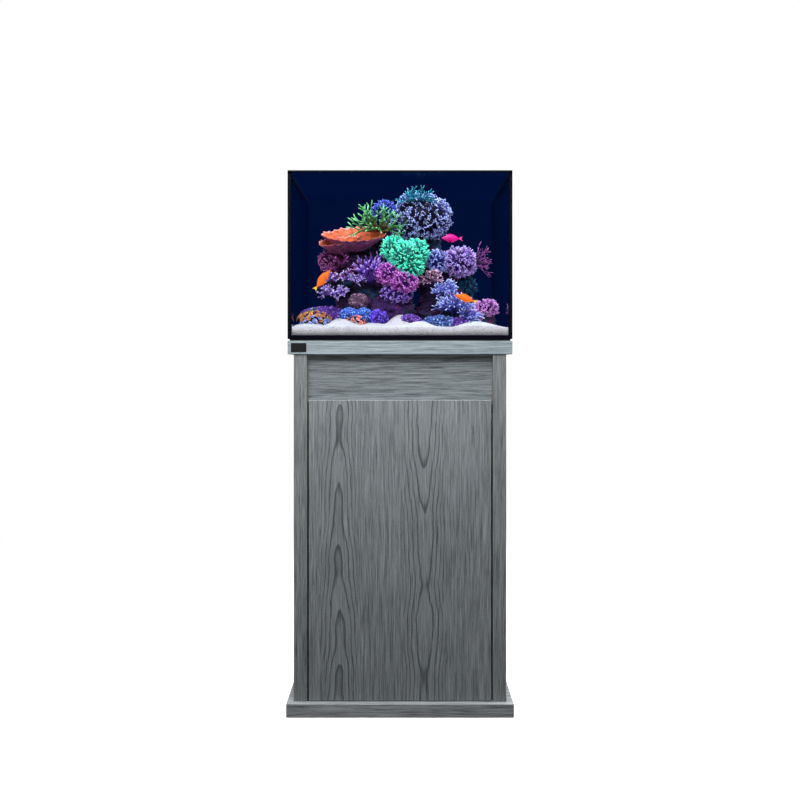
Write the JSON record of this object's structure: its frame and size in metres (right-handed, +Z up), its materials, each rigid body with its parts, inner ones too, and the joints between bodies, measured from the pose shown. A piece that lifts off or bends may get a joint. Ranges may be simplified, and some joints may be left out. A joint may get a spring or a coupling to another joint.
{
  "type": "reef aquarium on cabinet",
  "caption": "Rimless glass reef tank on a grained cabinet with an inset door, a weir, drain and return pipes, a sump and planted rock.",
  "frame": {"origin": "middle of the plinth's underside, on the floor", "axes": "+Z up, +X to the right of somebody facing the door, -Y towards them"},
  "size_m": [0.604, 0.518, 1.455],
  "materials": {
    "grained_board": "embossed grey-blue wood grain melamine, satin",
    "worktop_board": "embossed pale grey-blue wood grain melamine, satin",
    "inner_board": "plain grey melamine",
    "clear_glass": "clear polished",
    "backed_glass": "glass with a dark navy rear coat, glossy",
    "silicone": "black sealant, satin",
    "foam": "closed-cell foam, matt",
    "badge": "plain black plate, glossy",
    "black_metal": "black coated steel",
    "steel": "zinc plated",
    "latch_plastic": "moulded grey",
    "dark_acrylic": "black acrylic sheet",
    "pipe_pvc": "grey pressure pipe",
    "valve_red": "moulded red",
    "nozzle_black": "moulded black",
    "skimmer_acrylic": "clear cast acrylic",
    "reservoir_plastic": "translucent white",
    "felt": "needled white felt",
    "sand": "coral sand",
    "rock": "porous reef rock with coralline growth",
    "coral_orange": "living coral, matt",
    "coral_green": "living coral, matt",
    "coral_lilac": "living coral, matt"
  },
  "bodies": {
    "stand": {"back_panel": "inner_board", "badge_plate": "badge", "bottom_panel": "inner_board", "bulkhead_fittings": "pipe_pvc", "bulkhead_nuts": "pipe_pvc", "carcass_screws": "steel", "coral_blue_column": "coral_lilac", "coral_green_branch": "coral_green", "coral_lilac_bush": "coral_lilac", "coral_mint_dome": "coral_green", "coral_orange_cup": "coral_orange", "coral_right_bush": "coral_lilac", "door_bumpers": "foam", "drain_pipes": "pipe_pvc", "fascia_panel": "grained_board", "gate_valve_body": "pipe_pvc", "hinge_leaf_fixed": "black_metal", "hinge_pin": "black_metal", "hinge_screws_fixed": "black_metal", "plinth": "grained_board", "push_latch_body": "latch_plastic", "rear_rail": "inner_board", "return_pipe": "pipe_pvc", "return_pump": "nozzle_black", "return_riser": "pipe_pvc", "return_tap_body": "pipe_pvc", "rock_centre": "rock", "rock_left": "rock", "rock_right": "rock", "sand_bed": "sand", "side_panel_left": "grained_board", "side_panel_right": "grained_board", "silicone_seams": "silicone", "skimmer_body": "skimmer_acrylic", "skimmer_pump": "nozzle_black", "sock_holder": "dark_acrylic", "standpipes": "pipe_pvc", "sump_baffles": "clear_glass", "sump_mat": "foam", "sump_tank": "clear_glass", "tank_base_pane": "clear_glass", "tank_front_pane": "clear_glass", "tank_left_pane": "clear_glass", "tank_mat": "foam", "tank_rear_pane": "backed_glass", "tank_right_pane": "clear_glass", "topup_reservoir": "reservoir_plastic", "weir_box": "dark_acrylic", "worktop": "worktop_board"},
    "door_leaf": {"door": "grained_board", "hinge_leaf_door": "black_metal", "hinge_screws_door": "black_metal", "latch_strike": "steel"},
    "latch_plunger": {"push_latch_plunger": "latch_plastic"},
    "valve_wheel": {"gate_valve_wheel": "valve_red"},
    "tap_lever": {"return_tap_lever": "valve_red"},
    "nozzle": {"return_nozzle": "nozzle_black"},
    "sock": {"filter_sock": "felt"},
    "cup": {"skimmer_cup": "skimmer_acrylic"},
    "comb": {"weir_comb": "dark_acrylic"}
  },
  "joints": [
    {"name": "door_swing", "type": "hinge", "parent": "stand", "child": "door_leaf", "pos_m": [-0.246, -0.236, 0.44], "axis": [0, 0, -1], "range_deg": [0, 110]},
    {"name": "latch_press", "type": "slide", "parent": "stand", "child": "latch_plunger", "axis": [0, 1, 0], "range_m": [0, 0.003], "stiffness_N_per_m": 600, "springref_m": -0.002},
    {"name": "gate_valve_turn", "type": "hinge", "parent": "stand", "child": "valve_wheel", "pos_m": [-0.08, 0.154, 0.64], "axis": [0, -1, 0], "range_deg": [-1080, 0]},
    {"name": "return_tap_turn", "type": "hinge", "parent": "stand", "child": "tap_lever", "pos_m": [0.08, 0.1675, 0.56], "axis": [0, -1, 0], "range_deg": [-90, 0]},
    {"name": "nozzle_swing", "type": "hinge", "parent": "stand", "child": "nozzle", "pos_m": [0.08, 0.1316, 1.371], "axis": [0, 0, 1], "range_deg": [-30, 30]},
    {"name": "sock_lift", "type": "slide", "parent": "stand", "child": "sock", "axis": [0, 0, 1], "range_m": [0, 0.12]},
    {"name": "cup_lift", "type": "slide", "parent": "stand", "child": "cup", "axis": [0, 0, 1], "range_m": [0, 0.08]},
    {"name": "comb_lift", "type": "slide", "parent": "stand", "child": "comb", "axis": [0, 0, 1], "range_m": [0, 0.06]}
  ]
}
